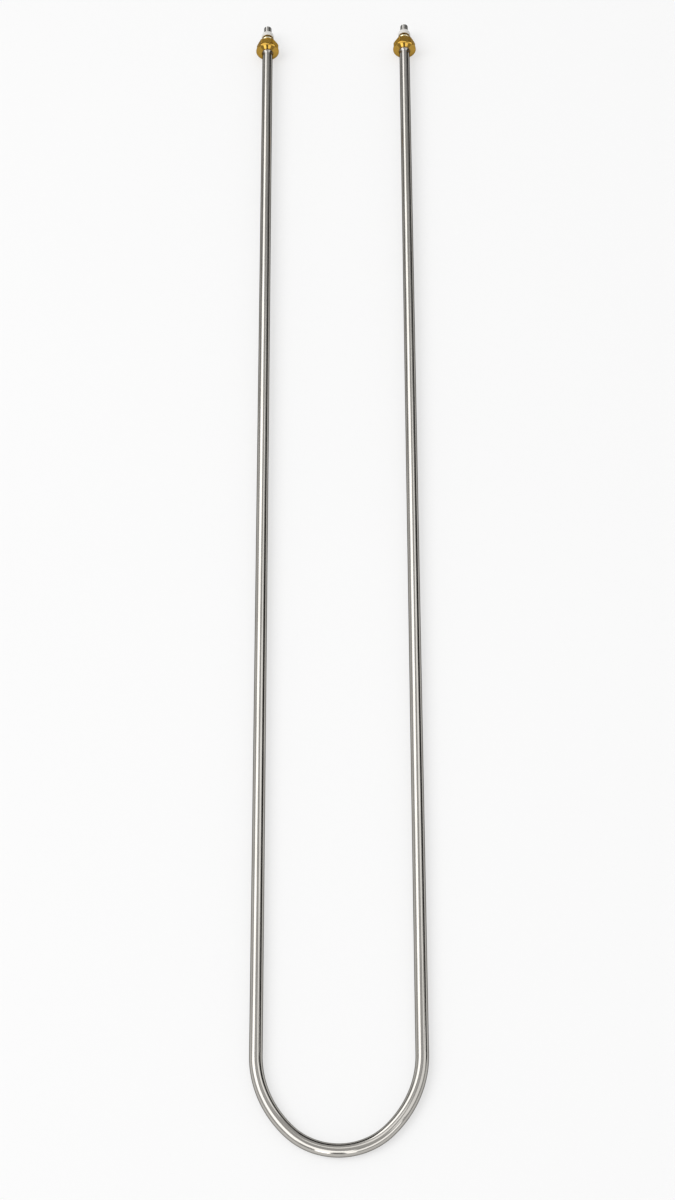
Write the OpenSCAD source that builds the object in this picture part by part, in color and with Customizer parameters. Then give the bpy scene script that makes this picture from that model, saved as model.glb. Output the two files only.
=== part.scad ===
// Long U-shaped immersion heating element. The sheathed tube lies flat with its bend towards -Y
// and its two terminals towards +Y. The origin is under the middle of the whole length, on the
// surface that the element rests on, with +Z up.

/* [Sheath tube] */
// Outside diameter of the sheath
tube_d = 8; // [7:0.1:9]
// Wall thickness of the sheath
wall_t = 0.6; // [0.4:0.05:0.8]

/* [Bend] */
// Width of the U between the centre lines of its legs, where the bend begins
bend_w = 98; // [92:1:108]
// Centre line radius of the tight middle arc
bend_r = 41; // [36:0.5:44]
// Angle that each wider side arc turns through before the middle arc takes over
side_arc = 45; // [38:1:52]

/* [Legs] */
// Straight length of a leg, from the bend to the near face of the bush
leg_l = 870; // [600:10:1000]
// Outward lean of each leg
splay = 0.35; // [0:0.05:1]

/* [Brass bush] */
// Diameter of the round flange
flange_d = 18; // [17.6:0.1:22]
// Thickness of the flange
flange_t = 2.2; // [1.8:0.1:4]
// Chamfer round both edges of the flange
flange_c = 0.8; // [0.3:0.1:0.8]
// Major diameter of the shank's thread
shank_d = 12; // [11.4:0.1:12.6]
// Length of the shank that stands out past the nut
shank_out = 2; // [1:0.1:3]
// Chamfer on the end of the shank
shank_c = 0.4; // [0.2:0.1:0.6]
// Thickness of the thin neck round the end of the tube
neck_t = 0.35; // [0.3:0.05:0.6]
// Length of the neck past the shank
neck_l = 5.3; // [4.2:0.1:8]
// Height of the ring rolled into the neck
ring_h = 0.3; // [0.15:0.05:0.5]
// Width of the ring rolled into the neck
ring_w = 1.4; // [0.8:0.1:2]
// Distance from the ring to the end of the neck
ring_at = 2.6; // [1.6:0.1:2.8]
// Depth of the countersink that the braze metal fills
sink_c = 0.6; // [0.3:0.1:0.8]

/* [Lock nut] */
// Size of the nut across its flats
nut_af = 15; // [14.6:0.1:17]
// Thickness of the nut
nut_t = 6.2; // [4:0.1:8]
// Angle of the chamfer on both faces of the nut
nut_c = 28; // [15:1:35]
// Turn of each nut about its leg
nut_turn = 3; // [0:1:30]

/* [Ceramic bead] */
// Diameter of the bead where it meets the neck
bead_d = 9.7; // [9.2:0.1:10.6]
// Length of the straight part of the bead, before its dome
bead_straight = 2.1; // [1:0.1:3]
// Length of the bead outside the tube
bead_l = 5.2; // [4:0.1:5.6]
// Length of the spigot inside the tube
spigot_l = 4; // [2:0.1:6]

/* [Terminal] */
// Major diameter of the terminal stud's thread
stud_d = 6; // [5:0.1:6.4]
// Length of the terminal stud
stud_l = 6.6; // [5:0.1:16]
// Chamfer on the end of the terminal stud
stud_c = 0.6; // [0.3:0.1:0.9]
// Depth of the socket that holds the cold pin
socket_l = 3; // [2:0.1:4]

/* [Inside the sheath] */
// Diameter of the cold pin
pin_d = 3; // [2.6:0.1:3.4]
// Length of the cold pin inside the sheath
pin_l = 90; // [60:5:150]
// Length of the thinner pin end that the coil grips
grip_l = 8; // [4:0.5:12]
// Outside diameter of the resistance coil
coil_d = 3.6; // [3.5:0.1:4.2]
// Diameter of the resistance wire
wire_d = 0.45; // [0.35:0.05:0.5]
// Length of the end seal
seal_l = 8; // [5:0.5:12]

/* [Hidden] */
$fn = 64;
left = -1;
right = 1;
// Clearance between a round piece and the hole it sits in
fit_gap = 0.04;
// Overlap that lets a cutter run past a face
past = 1;
// Radius that bending takes off the bar at each tighter arc
bend_thin = 0.02;
// Length that an arc runs on inside the stouter length beside it
lap = 0.5;

tube_r = tube_d / 2;
bore_r = tube_r - wall_t;
flange_r = flange_d / 2;
shank_r = shank_d / 2;
sleeve_r = tube_r + fit_gap;
neck_r = sleeve_r + neck_t;
bead_r = bead_d / 2;
stud_r = stud_d / 2;
pin_r = pin_d / 2;
coil_r = coil_d / 2;
core_r = coil_r - wire_d - fit_gap;
grip_r = core_r;
pack_r = bore_r - fit_gap;

// The bend: a wide arc each side and a tight one between them, all tangent to each other
half_w = bend_w / 2;
side_r = (half_w - bend_r * cos(side_arc)) / (1 - cos(side_arc));
side_x = side_r - half_w;
mid_y = -(side_r - bend_r) * sin(side_arc);
bend_depth = bend_r - mid_y;
side_lap = lap / side_r * 180 / PI;
mid_lap = lap / bend_r * 180 / PI;

// Where a leg starts, and stations along it from there
leg_x = side_r * cos(splay) - side_x;
leg_y = -side_r * sin(splay);
nut_z = leg_l + flange_t;
thread_z = nut_z + nut_t;
neck_z = thread_z + shank_out;
mouth_z = neck_z + neck_l;
spigot_z = mouth_z - spigot_l;
seal_z = spigot_z - seal_l;
coil_z = mouth_z - pin_l;
core_z = coil_z - grip_l;
stud_z = mouth_z + bead_l;
end_z = stud_z + stud_l;

// At rest the bend and both flanges touch the surface
tight_r = tube_r - 2 * bend_thin;
rim_y = leg_y + (leg_l + flange_c) * cos(splay) + bend_depth;
rest_tilt = atan(flange_r / rim_y) - asin(tight_r / norm([rim_y, flange_r]));
tip_r = stud_r - stud_c;
tip_y = leg_y + end_z * cos(splay) + tip_r * sin(splay);
top_y = tip_y * cos(rest_tilt) + tip_r * sin(rest_tilt);
low_y = -bend_depth * cos(rest_tilt) - tight_r;
rest_z = tight_r + bend_depth * sin(rest_tilt);

// Lays the flat U on the surface, with the origin under the middle of its length
module at_rest() {
    translate([0, -(top_y + low_y) / 2, rest_z])
        rotate([rest_tilt, 0, 0])
            children();
}

// Puts a turned piece on a leg: its own +Z runs out along the leg towards the terminal
module on_leg(side, z = 0) {
    translate([side * leg_x, leg_y, 0])
        rotate([0, 0, -side * splay])
            rotate([-90, 0, 0])
                translate([0, 0, z])
                    children();
}

// One arc of the bend: a round bar of radius r on a centre line of radius arc_r round [x, y]
module bend_arc(r, arc_r, x, y, from, to) {
    translate([x, y, 0])
        rotate_extrude(angle = to - from, start = from)
            translate([arc_r, 0])
                circle(r = r);
}

// A round bar of radius r that follows the U and ends at station z on both legs. Bending thins the
// bar a little from arc to arc, and the stouter length always laps the thinner one's end.
module u_bar(r, z) {
    for (side = [left, right])
        on_leg(side)
            cylinder(r = r, h = z);
    bend_arc(r - bend_thin, side_r, -side_x, 0, -side_arc, side_lap - splay);
    bend_arc(r - bend_thin, side_r, side_x, 0, 180 + splay - side_lap, 180 + side_arc);
    bend_arc(r - 2 * bend_thin, bend_r, 0, mid_y, 180 + side_arc - mid_lap, 360 - side_arc + mid_lap);
}

// Stainless sheath: one tube, bent to a U
module sheath_tube() {
    color([0.62, 0.61, 0.59])
        at_rest()
            difference() {
                u_bar(tube_r, mouth_z);
                u_bar(bore_r, mouth_z + past);
            }
}

// Compacted magnesia between the coil or the pins and the sheath
module magnesia_packing() {
    color([0.9, 0.89, 0.85])
        at_rest()
            difference() {
                u_bar(pack_r, seal_z);
                u_bar(coil_r + fit_gap, coil_z);
                for (side = [left, right])
                    on_leg(side, coil_z - past)
                        cylinder(r = pin_r + fit_gap, h = seal_z - coil_z + 2 * past);
            }
}

// Compacted magnesia inside the coil
module magnesia_core() {
    color([0.88, 0.87, 0.83])
        at_rest()
            u_bar(core_r, core_z);
}

// Resistance coil as the plain sleeve that its fine turns fill
module resistance_coil() {
    color([0.45, 0.43, 0.41])
        at_rest()
            difference() {
                u_bar(coil_r, coil_z);
                u_bar(coil_r - wire_d, coil_z + past);
            }
}

// Cold pin: a thin end that the coil grips, then a plain rod out to the stud's socket
module cold_pin(side) {
    color([0.6, 0.6, 0.6])
        at_rest()
            on_leg(side, core_z) {
                cylinder(r = grip_r, h = grip_l);
                translate([0, 0, grip_l])
                    cylinder(r = pin_r, h = stud_z + socket_l - coil_z);
            }
}

// Rubber plug that keeps damp out of the magnesia
module end_seal(side) {
    color([0.75, 0.3, 0.2])
        at_rest()
            on_leg(side, seal_z)
                difference() {
                    cylinder(r = bore_r - fit_gap, h = seal_l);
                    translate([0, 0, -past])
                        cylinder(r = pin_r + fit_gap, h = seal_l + 2 * past);
                }
}

// Ring of braze metal in the countersink, level with the flange's near face
module braze_ring(side) {
    color([0.45, 0.28, 0.1])
        at_rest()
            on_leg(side, leg_l)
                rotate_extrude()
                    polygon([[tube_r, 0], [sleeve_r + sink_c, 0], [sleeve_r, sink_c], [tube_r, sink_c]]);
}

// Outline of the bush from its near face outwards, as radius and length
function bush_outline() = [
    [0, 0],
    [flange_r - flange_c, 0],
    [flange_r, flange_c],
    [flange_r, flange_t - flange_c],
    [flange_r - flange_c, flange_t],
    [shank_r, flange_t],
    [shank_r, neck_z - leg_l - shank_c],
    [shank_r - shank_c, neck_z - leg_l],
    [neck_r, neck_z - leg_l],
    [neck_r, mouth_z - leg_l],
    [0, mouth_z - leg_l]
];

// Radius of the circle that rounds the rolled ring, from its width and height
ring_r = (ring_w * ring_w / 4 + ring_h * ring_h) / (2 * ring_h);

// Brass bush: round flange, threaded shank and a thin neck with one rolled ring
module threaded_bush(side) {
    color([0.72, 0.56, 0.26])
        at_rest()
            on_leg(side, leg_l)
                difference() {
                    union() {
                        rotate_extrude()
                            polygon(bush_outline());
                        translate([0, 0, mouth_z - leg_l - ring_at])
                            rolled_ring();
                    }
                    translate([0, 0, -past])
                        cylinder(r = sleeve_r, h = mouth_z - leg_l + 2 * past);
                    cylinder(r1 = sleeve_r + sink_c, r2 = sleeve_r, h = sink_c);
                }
}

// The rolled ring stands out from the neck as a shallow round band
module rolled_ring() {
    rotate_extrude()
        intersection() {
            translate([neck_r + ring_h - ring_r, 0])
                circle(r = ring_r);
            translate([tube_r, -ring_w / 2])
                square([wall_t + neck_t + ring_h, ring_w]);
        }
}

// Brass lock nut: a hexagon with both faces chamfered to a circle, by cones that run past its corners
module lock_nut(side) {
    corner_r = nut_af / sqrt(3);
    face_r = nut_af / 2 * 0.96;
    drop = (corner_r + past - face_r) * tan(nut_c);
    color([0.66, 0.5, 0.22])
        at_rest()
            on_leg(side, nut_z)
                difference() {
                    intersection() {
                        rotate([0, 0, side * nut_turn])
                            cylinder(r = corner_r, h = nut_t, $fn = 6);
                        rotate_extrude()
                            polygon([
                                [0, 0],
                                [face_r, 0],
                                [corner_r + past, drop],
                                [corner_r + past, nut_t - drop],
                                [face_r, nut_t],
                                [0, nut_t]
                            ]);
                    }
                    translate([0, 0, -past])
                        cylinder(r = shank_r + fit_gap, h = nut_t + 2 * past);
                }
}

// White ceramic bead: a short cylinder with a domed end, and a spigot in the mouth of the sheath
module ceramic_bead(side) {
    color([0.94, 0.93, 0.9])
        at_rest()
            on_leg(side, mouth_z)
                difference() {
                    union() {
                        cylinder(r = bead_r, h = bead_straight);
                        intersection() {
                            translate([0, 0, bead_straight])
                                sphere(r = bead_r);
                            cylinder(r = bead_r + past, h = bead_l);
                        }
                        translate([0, 0, -spigot_l])
                            cylinder(r = bore_r - fit_gap, h = spigot_l + bead_straight);
                    }
                    translate([0, 0, -spigot_l - past])
                        cylinder(r = pin_r + fit_gap, h = spigot_l + bead_l + 2 * past);
                }
}

// Terminal stud: a plated threaded end with a socket for the cold pin
module terminal_stud(side) {
    color([0.7, 0.7, 0.69])
        at_rest()
            on_leg(side, stud_z)
                difference() {
                    rotate_extrude()
                        polygon([
                            [0, 0],
                            [stud_r, 0],
                            [stud_r, stud_l - stud_c],
                            [stud_r - stud_c, stud_l],
                            [0, stud_l]
                        ]);
                    translate([0, 0, -past])
                        cylinder(r = pin_r + fit_gap, h = socket_l + past);
                }
}

sheath_tube();
magnesia_packing();
magnesia_core();
resistance_coil();
cold_pin(left);  // cold_pin_left
cold_pin(right);  // cold_pin_right
end_seal(left);  // end_seal_left
end_seal(right);  // end_seal_right
braze_ring(left);  // braze_ring_left
braze_ring(right);  // braze_ring_right
threaded_bush(left);  // threaded_bush_left
threaded_bush(right);  // threaded_bush_right
lock_nut(left);  // lock_nut_left
lock_nut(right);  // lock_nut_right
ceramic_bead(left);  // ceramic_bead_left
ceramic_bead(right);  // ceramic_bead_right
terminal_stud(left);  // terminal_stud_left
terminal_stud(right);  // terminal_stud_right
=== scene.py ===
import math

import bpy
from mathutils import Matrix, Vector


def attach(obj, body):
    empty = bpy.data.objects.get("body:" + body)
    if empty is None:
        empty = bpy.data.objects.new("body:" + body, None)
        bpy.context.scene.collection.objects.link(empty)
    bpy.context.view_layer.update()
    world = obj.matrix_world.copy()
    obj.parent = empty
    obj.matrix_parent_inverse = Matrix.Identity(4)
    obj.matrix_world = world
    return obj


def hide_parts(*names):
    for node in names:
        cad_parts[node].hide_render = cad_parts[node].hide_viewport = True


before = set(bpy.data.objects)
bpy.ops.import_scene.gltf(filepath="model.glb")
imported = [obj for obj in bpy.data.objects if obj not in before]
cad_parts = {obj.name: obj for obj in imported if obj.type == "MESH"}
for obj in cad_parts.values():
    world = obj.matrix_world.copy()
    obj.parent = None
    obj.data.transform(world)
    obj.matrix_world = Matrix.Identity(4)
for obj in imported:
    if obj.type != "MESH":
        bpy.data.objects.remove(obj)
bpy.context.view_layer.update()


# The view. The camera stands beyond the bend, about 1.35 m above the table, and looks down along
# the legs to the two terminals at the far end.
eye = bpy.data.cameras.new("eye")
eye.sensor_fit = "AUTO"
eye.sensor_width = 36.0
eye.lens = 75.0
camera = bpy.data.objects.new("camera", eye)
bpy.context.scene.collection.objects.link(camera)
camera.location = (0.02231, -1.07382, 1.34787)
camera.rotation_euler = [math.radians(degrees) for degrees in (36.3686, 1.0537, -0.132)]
bpy.context.scene.camera = camera
bpy.context.scene.view_settings.view_transform = "Standard"


# The sheath. One long drawn tube of bright stainless steel, bent cold to a U in three arcs that
# run into each other: a wide one off each leg and a tighter one between them. Bending draws it a
# little flatter. It lies with its bend and the rims of both flanges on the table.
tube_r = 0.004
wall_t = 0.0006
half_w = 0.049
tight_r = 0.041
side_arc = math.radians(45)
splay = math.radians(0.35)
leg_l = 0.870
mouth = 0.8857
bend_thin = 0.00004
sheath_sides = 72
leg_steps = 40
arc_steps = 36

side_r = (half_w - tight_r * math.cos(side_arc)) / (1 - math.cos(side_arc))
side_x = side_r - half_w
tight_y = -(side_r - tight_r) * math.sin(side_arc)
leg_x = side_r * math.cos(splay) - side_x
leg_y = -side_r * math.sin(splay)
tight_end = tight_r * (math.pi / 2 - side_arc)
side_end = tight_end + side_r * (side_arc - splay)

# How it lies: tilted about X until the flattened bend and both flange rims touch the table, and
# centred between the bend and the end faces of the terminals.
flange_r = 0.009
flange_c = 0.0008
tip = 0.8975
tip_r = 0.0024
bend_depth = tight_r - tight_y
bend_tube_r = tube_r - bend_thin
rim_y = leg_y + (leg_l + flange_c) * math.cos(splay) + bend_depth
tilt = math.atan(flange_r / rim_y) - math.asin(bend_tube_r / math.hypot(rim_y, flange_r))
tip_y = leg_y + tip * math.cos(splay) + tip_r * math.sin(splay)
top_y = tip_y * math.cos(tilt) + tip_r * math.sin(tilt)
low_y = -bend_depth * math.cos(tilt) - bend_tube_r
lying = Matrix.Translation(
    (0, -(top_y + low_y) / 2, bend_tube_r + bend_depth * math.sin(tilt))
) @ Matrix.Rotation(tilt, 4, "X")


def let_go():
    """Leaves edit mode with nothing selected."""
    if bpy.context.object and bpy.context.object.mode != "OBJECT":
        bpy.ops.object.mode_set(mode="OBJECT")
    bpy.ops.object.select_all(action="DESELECT")


def start_piece(name, add, **size_and_place):
    """Adds a primitive with nothing else selected, and opens it in edit mode."""
    let_go()
    add(**size_and_place)
    piece = bpy.context.object
    piece.name = piece.data.name = name
    bpy.ops.object.transform_apply(location=True, rotation=True, scale=True)
    bpy.ops.object.mode_set(mode="EDIT")
    return piece


def take_up(piece):
    """Leaves edit mode with this piece alone selected and active."""
    let_go()
    piece.select_set(True)
    bpy.context.view_layer.objects.active = piece


def close_up(piece, apart=1e-6, fill=False):
    """Merges points that aren't so far apart, fills holes if asked, and turns faces outwards."""
    take_up(piece)
    bpy.ops.object.mode_set(mode="EDIT")
    bpy.ops.mesh.select_all(action="SELECT")
    bpy.ops.mesh.remove_doubles(threshold=apart)
    if fill:
        bpy.ops.mesh.fill_holes(sides=0)
    bpy.ops.mesh.normals_make_consistent(inside=False)
    bpy.ops.object.mode_set(mode="OBJECT")


def work(piece, kind, **settings):
    """Applies one modifier to the piece."""
    take_up(piece)
    step = piece.modifiers.new(kind.title(), kind)
    for setting, value in settings.items():
        setattr(step, setting, value)
    bpy.ops.object.modifier_apply(modifier=step.name)


def set_down(piece, place):
    """Moves the piece to its place and writes the place into its mesh."""
    take_up(piece)
    piece.matrix_world = place
    bpy.ops.object.transform_apply(location=True, rotation=True, scale=True)


def smooth(piece):
    """Shades the piece smooth, but not over edges sharper than 35 degrees."""
    take_up(piece)
    bpy.ops.object.shade_smooth_by_angle(angle=math.radians(35))


leg_step = Vector((-math.sin(splay), -math.cos(splay), 0)) * mouth / leg_steps
sheath = start_piece(
    "sheath",
    bpy.ops.mesh.primitive_circle_add,
    vertices=sheath_sides,
    radius=tube_r,
    location=Vector((leg_x, leg_y, 0)) - leg_step * leg_steps,
    rotation=(math.radians(90), 0, -splay),
)
for _ in range(leg_steps):
    bpy.ops.mesh.extrude_region_move(TRANSFORM_OT_translate={"value": leg_step})
for steps, turned, centre in (
    (arc_steps, side_arc - splay, (-side_x, 0, 0)),
    (2 * arc_steps, math.pi - 2 * side_arc, (0, tight_y, 0)),
    (arc_steps, side_arc - splay, (side_x, 0, 0)),
):
    bpy.ops.mesh.spin(steps=steps, angle=turned, center=centre, axis=(0, 0, 1))
leg_step.y = -leg_step.y
for _ in range(leg_steps):
    bpy.ops.mesh.extrude_region_move(TRANSFORM_OT_translate={"value": leg_step})
close_up(sheath)
work(sheath, "SOLIDIFY", thickness=wall_t, offset=-1, use_rim=True)


def straighten(point):
    """Where a point of the U lay on the straight tube: off its axis twice, and along it."""
    side = math.copysign(1, point.x)
    x, y = abs(point.x), point.y
    run = (x - leg_x) * math.sin(splay) + (y - leg_y) * math.cos(splay)
    if run >= 0:
        off = (x - leg_x) * math.cos(splay) - (y - leg_y) * math.sin(splay)
        return side * off, point.z, side * (side_end + run)
    turned = math.atan2(x, tight_y - y)
    if y < tight_y and turned <= math.pi / 2 - side_arc:
        off = math.hypot(x, y - tight_y) - tight_r
        return side * off, point.z, side * tight_r * turned
    turned = math.atan2(x + side_x, -y) - (math.pi / 2 - side_arc)
    off = math.hypot(x + side_x, y) - side_r
    return side * off, point.z, side * (tight_end + side_r * turned)


def remember(piece, name, place):
    """Keeps a vector with each point of the mesh, for the finish to follow."""
    kept = piece.data.attributes.new(name, "FLOAT_VECTOR", "POINT")
    for point, value in zip(piece.data.vertices, kept.data):
        value.vector = place(point.co)


remember(sheath, "straight_tube", straighten)

# The tube thins smoothly along both side arcs, and is thinnest all round the tight one.
for point, kept in zip(sheath.data.vertices, sheath.data.attributes["straight_tube"].data):
    bent = min(1, max(0, (side_end - abs(kept.vector.z)) / (side_end - tight_end)))
    point.co.z *= 1 - bend_thin / tube_r * bent * bent * (3 - 2 * bent)
smooth(sheath)
set_down(sheath, lying)


def new_finish(name, colour, metal, rough, edge_shade=1.0):
    """A new material, as one plain shader that the finish then builds on.

    A last value below 1 darkens a metal where it turns away from the eye: painted shade on its
    edges.
    """
    finish = bpy.data.materials.new(name)
    finish.use_nodes = True
    shader = finish.node_tree.nodes["Principled BSDF"]
    shader.inputs["Base Color"].default_value = (*colour, 1)
    shader.inputs["Metallic"].default_value = metal
    shader.inputs["Roughness"].default_value = rough
    shader.inputs["Specular Tint"].default_value = (edge_shade, edge_shade, edge_shade, 1)
    return finish, shader


def add_node(finish, kind, inputs=None, **settings):
    """One more node in a finish, with its settings, its values and what runs into it."""
    node = finish.node_tree.nodes.new(kind)
    for setting, value in settings.items():
        setattr(node, setting, value)
    for socket, value in (inputs or {}).items():
        if isinstance(value, bpy.types.NodeSocket):
            finish.node_tree.links.new(value, node.inputs[socket])
        else:
            node.inputs[socket].default_value = value
    return node


def own_place(finish, name="turned"):
    """Where each point lay before the piece was bent or fitted, which its mesh remembers."""
    return add_node(finish, "ShaderNodeAttribute", attribute_name=name).outputs["Vector"]


def along_axis(finish, place):
    """How far along the turned piece's own axis a point lies."""
    return add_node(finish, "ShaderNodeSeparateXYZ", {"Vector": place}).outputs["Z"]


def speckle(finish, place, stretch, detail, harsh):
    """Soft noise over the piece, finer or coarser along each axis."""
    stretched = add_node(finish, "ShaderNodeMapping", {"Vector": place, "Scale": stretch})
    noise = add_node(
        finish,
        "ShaderNodeTexNoise",
        {
            "Vector": stretched.outputs["Vector"],
            "Scale": 1.0,
            "Detail": detail,
            "Roughness": harsh,
        },
    )
    return noise.outputs["Fac"]


def between(finish, amount, low, high):
    """Spreads a noise's middle range from low to high."""
    spread = add_node(
        finish,
        "ShaderNodeMapRange",
        {"Value": amount, "From Min": 0.3, "From Max": 0.7, "To Min": low, "To Max": high},
    )
    return spread.outputs["Result"]


def shades(finish, amount, dark, light):
    """Two shades of a colour, mixed by a noise."""
    ramp = add_node(finish, "ShaderNodeValToRGB", {"Fac": amount})
    ramp.color_ramp.elements[0].position = 0.3
    ramp.color_ramp.elements[0].color = (*dark, 1)
    ramp.color_ramp.elements[1].position = 0.7
    ramp.color_ramp.elements[1].color = (*light, 1)
    return ramp.outputs["Color"]


def blend(finish, amount, first, second):
    """One colour where the amount is 0, and the other where it is 1."""
    mix = add_node(
        finish, "ShaderNodeMix", {"Factor": amount, 6: first, 7: second}, data_type="RGBA"
    )
    return mix.outputs[2]


def relief(finish, amount, depth):
    """Raises and sinks the surface by a real depth."""
    bump = add_node(finish, "ShaderNodeBump", {"Height": amount, "Distance": depth})
    return bump.outputs["Normal"]


def coat_with(finish, shader, colour, rough, normal):
    """Joins a finish's patterns to its shader."""
    for socket, value in (("Base Color", colour), ("Roughness", rough), ("Normal", normal)):
        finish.node_tree.links.new(value, shader.inputs[socket])


# The steel's edges get strong painted shade from the last value.
drawn_steel, shader = new_finish("drawn_steel", (0.475, 0.459, 0.430), 1.0, 0.11, 0.04)
place = own_place(drawn_steel, "straight_tube")
draw_lines = speckle(drawn_steel, place, (2600, 2600, 26), 4, 0.6)
patches = speckle(drawn_steel, place, (170, 170, 22), 3, 0.5)
coat_with(
    drawn_steel,
    shader,
    shades(drawn_steel, patches, (0.447, 0.430, 0.401), (0.508, 0.489, 0.456)),
    between(drawn_steel, draw_lines, 0.08, 0.13),
    relief(drawn_steel, draw_lines, 0.000004),
)
sheath.data.materials.append(drawn_steel)
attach(sheath, "root")
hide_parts("sheath_tube")


# What the sheath holds. White magnesia powder is packed hard round the coil and inside it, a steel
# pin runs from each end of the coil to a terminal, and a rubber plug keeps damp out of each mouth.
def grainy(name, colour, metal, rough, grain, depth):
    """A finish with fine grain all through, for a piece that keeps its plain shape."""
    finish, shader = new_finish(name, colour, metal, rough)
    place = add_node(finish, "ShaderNodeTexCoord").outputs["Object"]
    grains = speckle(finish, place, (grain, grain, grain), 5, 0.65)
    coat_with(
        finish,
        shader,
        shades(finish, grains, [0.82 * c for c in colour], colour),
        between(finish, grains, rough - 0.06, rough + 0.06),
        relief(finish, grains, depth),
    )
    return finish


packed_magnesia = grainy("packed_magnesia", (0.83, 0.82, 0.77), 0.0, 0.9, 2400, 0.00003)
coil_wire = grainy("coil_wire", (0.34, 0.32, 0.30), 1.0, 0.45, 5200, 0.00002)
pin_steel = grainy("pin_steel", (0.50, 0.50, 0.49), 1.0, 0.35, 3000, 0.00001)
seal_rubber = grainy("seal_rubber", (0.50, 0.12, 0.06), 0.0, 0.6, 1800, 0.00003)
for node, finish in (
    ("magnesia_packing", packed_magnesia),
    ("magnesia_core", packed_magnesia),
    ("resistance_coil", coil_wire),
    ("cold_pin_left", pin_steel),
    ("cold_pin_right", pin_steel),
    ("end_seal_left", seal_rubber),
    ("end_seal_right", seal_rubber),
):
    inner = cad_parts[node]
    inner.data.materials.clear()
    inner.data.materials.append(finish)


# The threaded bushes. Each is turned from brass bar: a round flange with both edges chamfered and
# a low polished cone on its near face, a 12 mm shank with a fine thread, and a thin neck round the
# end of the tube with one ring rolled in it.
flange_t = 0.0022
cone_h = 0.0016
cone_foot_r = 0.0080
cone_top_r = 0.0053
cone_edge = 0.0002
cone_rise = cone_edge * cone_h / (cone_foot_r - cone_top_r)
nut_t = 0.0062
shank_r = 0.006
shank_end = flange_t + nut_t + 0.002
shank_c = 0.0004
shank_pitch = 0.001
core_r = shank_r - 0.0007
core_end = shank_end - 0.0005
fit_gap = 0.00004
sleeve_r = tube_r + fit_gap
neck_r = sleeve_r + 0.00035
neck_end = mouth - leg_l
ring_h = 0.0003
ring_w = 0.0014
ring_mid = neck_end - 0.0026
ring_steps = 6
sink = 0.0006
bush_edge = 0.00008

# A blank for a thread stands over its crests, and a cutter runs past what it cuts.
over = 0.0002
past = 0.001


def turn(name, outline, sides=128):
    """Turns a piece: a circle is pushed and scaled from point to point of the outline.

    An outline that starts and ends on the axis gives a solid, and one that comes back to its
    first point gives a ring.
    """
    radius, height = outline[0] if outline[0][0] else outline[1]
    piece = start_piece(
        name,
        bpy.ops.mesh.primitive_circle_add,
        vertices=sides,
        radius=radius,
        fill_type="NOTHING" if outline[0][0] else "TRIFAN",
        location=(0, 0, height),
    )
    for next_radius, next_height in outline[1 if outline[0][0] else 2 :]:
        bpy.ops.mesh.extrude_region_move(
            TRANSFORM_OT_translate={"value": (0, 0, next_height - height)}
        )
        size = next_radius / radius
        bpy.ops.transform.resize(value=(size, size, 1), center_override=(0, 0, next_height))
        radius, height = next_radius, next_height
    close_up(piece)
    return piece


def combine(piece, other, how):
    """Joins, trims or cuts the piece with another one, which is then used up."""
    work(piece, "BOOLEAN", operation=how, object=other, solver="EXACT")
    bpy.data.objects.remove(other)
    close_up(piece)


def cut_thread(name, crest_r, pitch, low, high, crest=0.125, root=0.25, sides=96):
    """A threaded rod, at least as long as from low to high, with ragged ends.

    The crest's and the root's widths are shares of the pitch, and the flanks stand at 60 degrees
    to each other.
    """
    flank = (1 - crest - root) / 2 * pitch
    root_r = crest_r - flank / math.tan(math.radians(30))
    spare_turns = 3
    turns = math.ceil((high - low) / pitch) + spare_turns
    rod = start_piece(name, bpy.ops.mesh.primitive_plane_add, size=pitch)
    bpy.ops.mesh.merge(type="CENTER")
    bpy.ops.transform.translate(value=(root_r, 0, low - spare_turns / 2 * pitch))
    for across, along in (
        (crest_r - root_r, flank),
        (0, crest * pitch),
        (root_r - crest_r, flank),
        (0, root * pitch),
    ):
        bpy.ops.mesh.extrude_region_move(TRANSFORM_OT_translate={"value": (across, 0, along)})
    work(
        rod,
        "SCREW",
        axis="Z",
        angle=math.tau,
        screw_offset=pitch,
        iterations=turns,
        steps=sides,
        render_steps=sides,
        use_merge_vertices=True,
        merge_threshold=1e-7,
    )
    close_up(rod, apart=1e-7, fill=True)
    return rod


rolled_ring = []
ring_r = (ring_w * ring_w / 4 + ring_h * ring_h) / (2 * ring_h)
for step in range(-ring_steps, ring_steps + 1):
    across = step / ring_steps * ring_w / 2
    rolled_ring.append(
        (neck_r + ring_h - ring_r + math.sqrt(ring_r**2 - across**2), ring_mid + across)
    )
bush = turn(
    "bush",
    [
        (0, -cone_h),
        (cone_top_r, -cone_h),
        (cone_top_r + cone_edge, cone_rise - cone_h),
        (cone_foot_r - cone_edge, -cone_rise),
        (cone_foot_r, 0),
        (flange_r - flange_c, 0),
        (flange_r, flange_c),
        (flange_r, flange_t - flange_c),
        (flange_r - flange_c, flange_t),
        (core_r, flange_t),
        (core_r, core_end),
        (neck_r, core_end),
        *rolled_ring,
        (neck_r, neck_end),
        (0, neck_end),
    ],
)
work(
    bush,
    "BEVEL",
    width=bush_edge,
    segments=2,
    limit_method="ANGLE",
    angle_limit=math.radians(30),
)
shank = cut_thread("shank", shank_r, shank_pitch, flange_t, shank_end)
shank_start = flange_t - 0.0003
blank = turn(
    "shank_blank",
    [
        (0, shank_start),
        (shank_r + over, shank_start),
        (shank_r + over, shank_end - shank_c - over),
        (shank_r - shank_c, shank_end),
        (0, shank_end),
    ],
)
combine(shank, blank, "INTERSECT")
combine(bush, shank, "UNION")
drill = turn(
    "drill",
    [
        (0, -cone_h - past),
        (sleeve_r + sink + past, -cone_h - past),
        (sleeve_r, sink - cone_h),
        (sleeve_r, neck_end + past),
        (0, neck_end + past),
    ],
)
combine(bush, drill, "DIFFERENCE")


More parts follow.
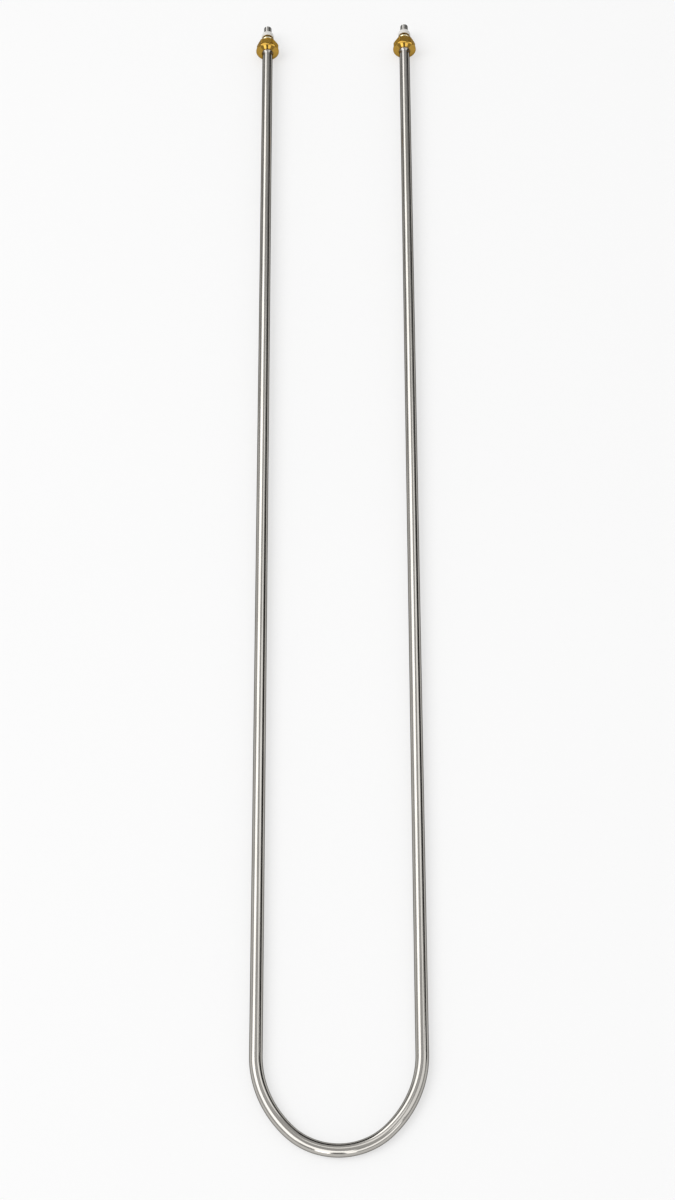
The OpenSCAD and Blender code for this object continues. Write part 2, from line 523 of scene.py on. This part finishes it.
def on_leg(side, station, turned=0.0):
    """The place on a leg, so far from where it leaves the bend: +Z runs out to the terminal."""
    return (
        lying
        @ Matrix.Translation((side * leg_x, leg_y, 0))
        @ Matrix.Rotation(-side * splay, 4, "Z")
        @ Matrix.Rotation(math.radians(-90), 4, "X")
        @ Matrix.Translation((0, 0, station))
        @ Matrix.Rotation(side * turned, 4, "Z")
    )


def fit_both_legs(piece, station, finish, node, turned=0.0):
    """Copies a finished piece and fits one to each leg, in place of the plain solid there."""
    remember(piece, "turned", lambda point: point)
    smooth(piece)
    piece.data.materials.clear()
    piece.data.materials.append(finish)
    kind = piece.name
    other = piece.copy()
    other.data = piece.data.copy()
    bpy.context.scene.collection.objects.link(other)
    for one, name, side in ((piece, "left", -1), (other, "right", 1)):
        one.name = one.data.name = f"{kind}_{name}"
        set_down(one, on_leg(side, station, turned))
        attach(one, "root")
        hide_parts(f"{node}_{name}")


def round_marks(finish, place, fine):
    """Noise in rings about the turned piece's own axis, as a lathe tool leaves it."""
    flat = add_node(
        finish,
        "ShaderNodeVectorMath",
        {0: place, 1: (1.0, 1.0, 0.0)},
        operation="MULTIPLY",
    )
    radius = add_node(
        finish, "ShaderNodeVectorMath", {0: flat.outputs["Vector"]}, operation="LENGTH"
    )
    rings = add_node(
        finish,
        "ShaderNodeCombineXYZ",
        {"X": radius.outputs["Value"], "Y": along_axis(finish, place)},
    )
    return speckle(finish, rings.outputs["Vector"], (fine, fine, fine), 3, 0.6)


def turned_brass(name, dark, light, smoothest, roughest, depth, painted_highlight_band=()):
    """Turned brass: rings from the tool, and cloudy tarnish.

    A painted highlight: the stretch from one height to the next is painted pale and bright.
    """
    finish, shader = new_finish(name, light, 1.0, roughest, 0.45)
    place = own_place(finish)
    tool_marks = round_marks(finish, place, 9000)
    tarnish = speckle(finish, place, (420, 420, 420), 4, 0.6)
    colour = shades(finish, tarnish, dark, light)
    # The pale colour along this stretch is a painted highlight.
    if painted_highlight_band:
        low, high = painted_highlight_band
        highlight_band = add_node(
            finish,
            "ShaderNodeMath",
            {0: along_axis(finish, place), 1: (low + high) / 2, 2: (high - low) / 2},
            operation="COMPARE",
        )
        colour = blend(finish, highlight_band.outputs["Value"], colour, (0.85, 0.77, 0.53, 1))
    coat_with(
        finish,
        shader,
        colour,
        between(finish, tool_marks, smoothest, roughest),
        relief(finish, tool_marks, depth),
    )
    return finish


# The bush's brass, with a painted highlight over the rolled ring.
bush_brass = turned_brass(
    "bush_brass",
    (0.38, 0.228, 0.042),
    (0.46, 0.276, 0.054),
    0.04,
    0.08,
    0.0000006,
    painted_highlight_band=(ring_mid - ring_w / 2, ring_mid + ring_w / 2),
)
fit_both_legs(bush, leg_l, bush_brass, "threaded_bush")


# The lock nuts. Hexagons 15 mm across the flats, sawn from brass bar, chamfered on both faces and
# bored plain with a lead-in at each face, where the real nuts are threaded to run on the shank.
# Each is done up against the flange.
nut_af = 0.015
nut_turned = math.radians(3)
nut_chamfer = math.radians(28)
nut_edge = 0.00034
corner_r = nut_af / math.sqrt(3)
face_r = nut_af / 2 * 0.96
clear_r = corner_r + 0.001
nut_bore_r = shank_r - 0.0003
lead_in_r = shank_r + 0.0012
lead_in = 0.0005

nut = start_piece(
    "nut",
    bpy.ops.mesh.primitive_cylinder_add,
    vertices=6,
    radius=corner_r,
    depth=nut_t,
    location=(0, 0, nut_t / 2),
    rotation=(0, 0, math.radians(30)),
)
bpy.ops.mesh.select_all(action="DESELECT")
bpy.ops.object.mode_set(mode="OBJECT")
for edge in nut.data.edges:
    low, high = (nut.data.vertices[point].co for point in edge.vertices)
    edge.select = abs(low.z - high.z) > nut_t / 2
bpy.ops.object.mode_set(mode="EDIT")
bpy.ops.mesh.select_mode(type="EDGE")
bpy.ops.mesh.bevel(offset=nut_edge, segments=5, affect="EDGES")
bpy.ops.mesh.select_mode(type="VERT")
bpy.ops.object.mode_set(mode="OBJECT")
drop = (clear_r - face_r) * math.tan(nut_chamfer)
blank = turn(
    "nut_blank",
    [
        (0, 0),
        (face_r, 0),
        (clear_r, drop),
        (clear_r, nut_t - drop),
        (face_r, nut_t),
        (0, nut_t),
    ],
)
combine(nut, blank, "INTERSECT")
bore = turn(
    "nut_bore",
    [
        (0, -past),
        (lead_in_r, -past),
        (nut_bore_r, lead_in),
        (nut_bore_r, nut_t - lead_in),
        (lead_in_r, nut_t + past),
        (0, nut_t + past),
    ],
)
combine(nut, bore, "DIFFERENCE")
nut_brass = turned_brass(
    "nut_brass", (0.36, 0.205, 0.032), (0.44, 0.260, 0.048), 0.16, 0.26, 0.000003
)
fit_both_legs(nut, leg_l + flange_t, nut_brass, "lock_nut", nut_turned)


# The braze rings. Silver braze has run round each tube where it enters the bush, filled the
# countersink there, and crept a few millimetres along the tube in a thin hollow fillet. It is
# painted dark brown where it meets the bush: painted shade in that joint.
hollow = [
    (-0.0034, 0),
    (-0.0030, 0.000010),
    (-0.0025, 0.000036),
    (-0.0020, 0.000084),
    (-0.0015, 0.000156),
    (-0.0010, 0.000258),
    (-0.0006, 0.000350),
    (-0.0003, 0.000430),
    (-0.0001, 0.000480),
]
fillet = turn(
    "braze",
    [
        *((tube_r + thick, station) for station, thick in hollow),
        (sleeve_r + sink - 0.00006, 0.00001),
        (sleeve_r + sink, 0.00003),
        (sleeve_r, sink),
        (tube_r, sink),
        (tube_r, hollow[0][0]),
    ],
)
silver_braze, shader = new_finish("silver_braze", (0.43, 0.415, 0.39), 1.0, 0.16, 0.4)
place = own_place(silver_braze)
ripples = speckle(silver_braze, place, (700, 700, 300), 4, 0.6)
blotches = speckle(silver_braze, place, (1400, 1400, 1400), 5, 0.65)
# Where the painted shade lies: rising over the last 0.4 mm up to the bush.
joint_shade_mask = add_node(
    silver_braze,
    "ShaderNodeMapRange",
    {"Value": along_axis(silver_braze, place), "From Min": -0.0004, "From Max": 0.0},
    interpolation_type="SMOOTHSTEP",
)
clean_metal = shades(silver_braze, blotches, (0.35, 0.34, 0.325), (0.43, 0.418, 0.40))
# Dark brown where the braze meets the bush: painted shade in the joint.
painted_joint_shade = shades(silver_braze, blotches, (0.17, 0.095, 0.035), (0.36, 0.22, 0.085))
coat_with(
    silver_braze,
    shader,
    blend(silver_braze, joint_shade_mask.outputs["Result"], clean_metal, painted_joint_shade),
    between(silver_braze, blotches, 0.10, 0.18),
    relief(silver_braze, ripples, 0.000005),
)
fit_both_legs(fillet, leg_l - cone_h, silver_braze, "braze_ring")


# The ceramic beads. White insulating porcelain, pressed with a spigot that sits in the mouth of
# the sheath and a domed outer end with a hole for the pin.
bead_r = 0.00485
bead_straight = 0.0021
bead_l = 0.0052
bead_edge = 0.00015
dome_steps = 12
spigot_l = 0.004
bore_r = tube_r - wall_t
pin_r = 0.0015
hole_r = pin_r + fit_gap

dome = []
dome_end = math.asin((bead_l - bead_straight) / bead_r)
for step in range(dome_steps + 1):
    rise = dome_end * step / dome_steps
    dome.append((bead_r * math.cos(rise), bead_straight + bead_r * math.sin(rise)))
bead = turn(
    "bead",
    [
        (hole_r, -spigot_l),
        (bore_r - fit_gap, -spigot_l),
        (bore_r - fit_gap, 0),
        (bead_r - 0.00025, 0),
        (bead_r - 0.00008, 0.00008),
        (bead_r, 0.00025),
        *dome,
        (hole_r, bead_l),
        (hole_r, -spigot_l),
    ],
)
work(
    bead,
    "BEVEL",
    width=bead_edge,
    segments=3,
    limit_method="ANGLE",
    angle_limit=math.radians(35),
)
white_ceramic, shader = new_finish("white_ceramic", (0.74, 0.725, 0.685), 0.0, 0.4)
place = own_place(white_ceramic)
grains = speckle(white_ceramic, place, (1500, 1500, 1500), 5, 0.6)
coat_with(
    white_ceramic,
    shader,
    shades(white_ceramic, grains, (0.70, 0.685, 0.645), (0.76, 0.745, 0.71)),
    between(white_ceramic, grains, 0.34, 0.48),
    relief(white_ceramic, grains, 0.00001),
)
fit_both_legs(bead, mouth, white_ceramic, "ceramic_bead")


# The terminal studs. Nickel-plated steel, threaded their whole length for the nuts that will hold
# the supply wires, and crimped on the ends of the cold pins.
stud_r = 0.003
stud_l = 0.0066
stud_c = 0.0004
stud_pitch = 0.0005
stud_foot = 0.0005
socket_l = 0.003
socket_tip = 0.0006

stud = cut_thread("stud", stud_r, stud_pitch, 0, stud_l, crest=0.88, root=0.03)
blank = turn(
    "stud_blank",
    [
        (0, 0),
        (stud_r - 0.0003, 0),
        (stud_r + over, stud_foot),
        (stud_r + over, stud_l - stud_c - over),
        (stud_r - stud_c, stud_l),
        (0, stud_l),
    ],
)
combine(stud, blank, "INTERSECT")
socket = turn(
    "socket",
    [(0, -past), (hole_r, -past), (hole_r, socket_l), (0, socket_l + socket_tip)],
    sides=64,
)
combine(stud, socket, "DIFFERENCE")
plated_nickel, shader = new_finish("plated_nickel", (0.43, 0.42, 0.40), 1.0, 0.12, 0.10)
place = own_place(plated_nickel)
wear = speckle(plated_nickel, place, (700, 700, 700), 4, 0.6)
marks = round_marks(plated_nickel, place, 7000)
coat_with(
    plated_nickel,
    shader,
    shades(plated_nickel, wear, (0.39, 0.38, 0.36), (0.46, 0.45, 0.43)),
    between(plated_nickel, wear, 0.05, 0.09),
    relief(plated_nickel, marks, 0.000001),
)
fit_both_legs(stud, mouth + bead_l, plated_nickel, "terminal_stud")


# The table and the light. A pale table and even light from all round, with one big soft lamp high
# on the left. Only the bright metal sees the room: grey walls, white screens on both sides, a dark
# curtain behind the terminals, and two narrow lamps with a dim strip between them near the bend.
table = start_piece("table", bpy.ops.mesh.primitive_plane_add, size=12)
bpy.ops.object.mode_set(mode="OBJECT")
pale_paint, shader = new_finish("pale_paint", (0.95, 0.95, 0.95), 0.0, 0.9)
place = add_node(pale_paint, "ShaderNodeTexCoord").outputs["Object"]
cloudy = speckle(pale_paint, place, (3, 3, 3), 2, 0.5)
coat_with(
    pale_paint,
    shader,
    shades(pale_paint, cloudy, (0.945, 0.945, 0.945), (0.955, 0.955, 0.955)),
    between(pale_paint, cloudy, 0.88, 0.92),
    relief(pale_paint, cloudy, 0.0001),
)


def seen_from_here(finish):
    """1 for what is seen straight, in a mirror or through glass, and 0 for the light it gives."""
    ray = add_node(finish, "ShaderNodeLightPath").outputs
    seen = ray["Is Camera Ray"]
    for other in ("Is Glossy Ray", "Is Transmission Ray"):
        either = add_node(finish, "ShaderNodeMath", {0: seen, 1: ray[other]}, operation="MAXIMUM")
        seen = either.outputs["Value"]
    return seen


paper = add_node(pale_paint, "ShaderNodeEmission", {"Color": (1, 1, 1, 1), "Strength": 1.0})
whiteness = add_node(
    pale_paint, "ShaderNodeMath", {0: seen_from_here(pale_paint), 1: 0.55}, operation="MULTIPLY"
)
whitened = add_node(
    pale_paint,
    "ShaderNodeMixShader",
    {0: whiteness.outputs["Value"], 1: shader.outputs["BSDF"], 2: paper.outputs["Emission"]},
)
pale_paint.node_tree.links.new(
    whitened.outputs["Shader"], pale_paint.node_tree.nodes["Material Output"].inputs["Surface"]
)
table.data.materials.append(pale_paint)

room_air = bpy.data.worlds.new("room_air")
bpy.context.scene.world = room_air
room_air.use_nodes = True
dim = room_air.node_tree.nodes["Background"]
dim.inputs["Color"].default_value = (1, 1, 1, 1)
dim.inputs["Strength"].default_value = 0.67
white = add_node(room_air, "ShaderNodeBackground", {"Color": (1, 1, 1, 1), "Strength": 1.0})
mixed = add_node(
    room_air,
    "ShaderNodeMixShader",
    {0: seen_from_here(room_air), 1: dim.outputs["Background"], 2: white.outputs["Background"]},
)
room_air.node_tree.links.new(
    mixed.outputs["Shader"], room_air.node_tree.nodes["World Output"].inputs["Surface"]
)

softbox = bpy.data.lights.new("softbox", "AREA")
softbox.shape = "SQUARE"
softbox.size = 3.2
softbox.energy = 92
lamp = bpy.data.objects.new("lamp", softbox)
bpy.context.scene.collection.objects.link(lamp)
lamp.location = (-2.75, -0.58, 3.75)
lamp.rotation_euler = (-lamp.location).to_track_quat("-Z", "Y").to_euler()
lamp.visible_glossy = False


def hang_board(name, azimuth, elevation, wide, high, brightness, distance=9.0):
    """A flat board that only bright metal sees, placed by its direction and its angles across.

    Azimuth 0 is the far side, behind the terminals, and 90 is the right. Angles are in degrees.
    """
    flat = start_piece(name, bpy.ops.mesh.primitive_plane_add, size=1)
    bpy.ops.object.mode_set(mode="OBJECT")
    turn_to = (
        Matrix.Rotation(math.radians(-azimuth), 4, "Z")
        @ Matrix.Rotation(math.radians(elevation), 4, "X")
        @ Matrix.Translation((0, distance, 0))
        @ Matrix.Rotation(math.radians(90), 4, "X")
    )
    across = [2 * distance * math.tan(math.radians(angle / 2)) for angle in (wide, high)]
    set_down(flat, turn_to @ Matrix.Diagonal((*across, 1, 1)))
    paint = bpy.data.materials.new(name)
    paint.use_nodes = True
    paint.node_tree.nodes.clear()
    glow = add_node(
        paint, "ShaderNodeEmission", {"Color": (1, 1, 1, 1), "Strength": brightness}
    )
    add_node(paint, "ShaderNodeOutputMaterial", {"Surface": glow.outputs["Emission"]})
    paint.cycles.emission_sampling = "NONE"
    flat.data.materials.append(paint)
    for ray in ("camera", "diffuse", "shadow", "transmission"):
        setattr(flat, f"visible_{ray}", False)


# The room.
hang_board("ceiling", 0, 90, 100, 100, 0.60, 14)
hang_board("wall_left", -90, 20, 95, 95, 0.60, 13)
hang_board("wall_right", 90, 20, 95, 95, 0.50, 13)
hang_board("wall_far", 0, 20, 95, 95, 0.55, 13)
hang_board("wall_near", 180, 20, 95, 95, 0.50, 13)

# The white screens, which give the legs and the bend their long highlights.
hang_board("screen_left_far", -50, 43, 52, 30, 2.4)
hang_board("screen_left", -100, 44, 60, 34, 2.2)
hang_board("screen_left_near", -155, 42, 60, 30, 2.1)
hang_board("screen_right", 84, 42, 38, 36, 1.35)
hang_board("screen_right_near", 143, 26, 60, 24, 1.8)
hang_board("lamp_above", 30, 78, 24, 14, 1.5, 8.5)

# The far side: a dark curtain, which gives each leg its dark stripe, and what hangs round it.
hang_board("curtain", 24, 14, 92, 40, 0.03)
hang_board("lamp_far_right", 40, 47, 20, 20, 1.5)
hang_board("screen_far_right", 34, 27, 24, 12, 0.28, 8.8)
hang_board("skirting_far_left", -36, 5, 28, 14, 0.12, 8.8)

# The near side, which gives the two gold spots above the tube on each flange.
hang_board("lamp_near_left", -162, 14, 15, 24, 2.9, 8.5)
hang_board("lamp_near_right", 168, 16, 10, 22, 2.2, 8.5)
hang_board("curtain_near", -178, 18, 10, 26, 0.30, 8.3)
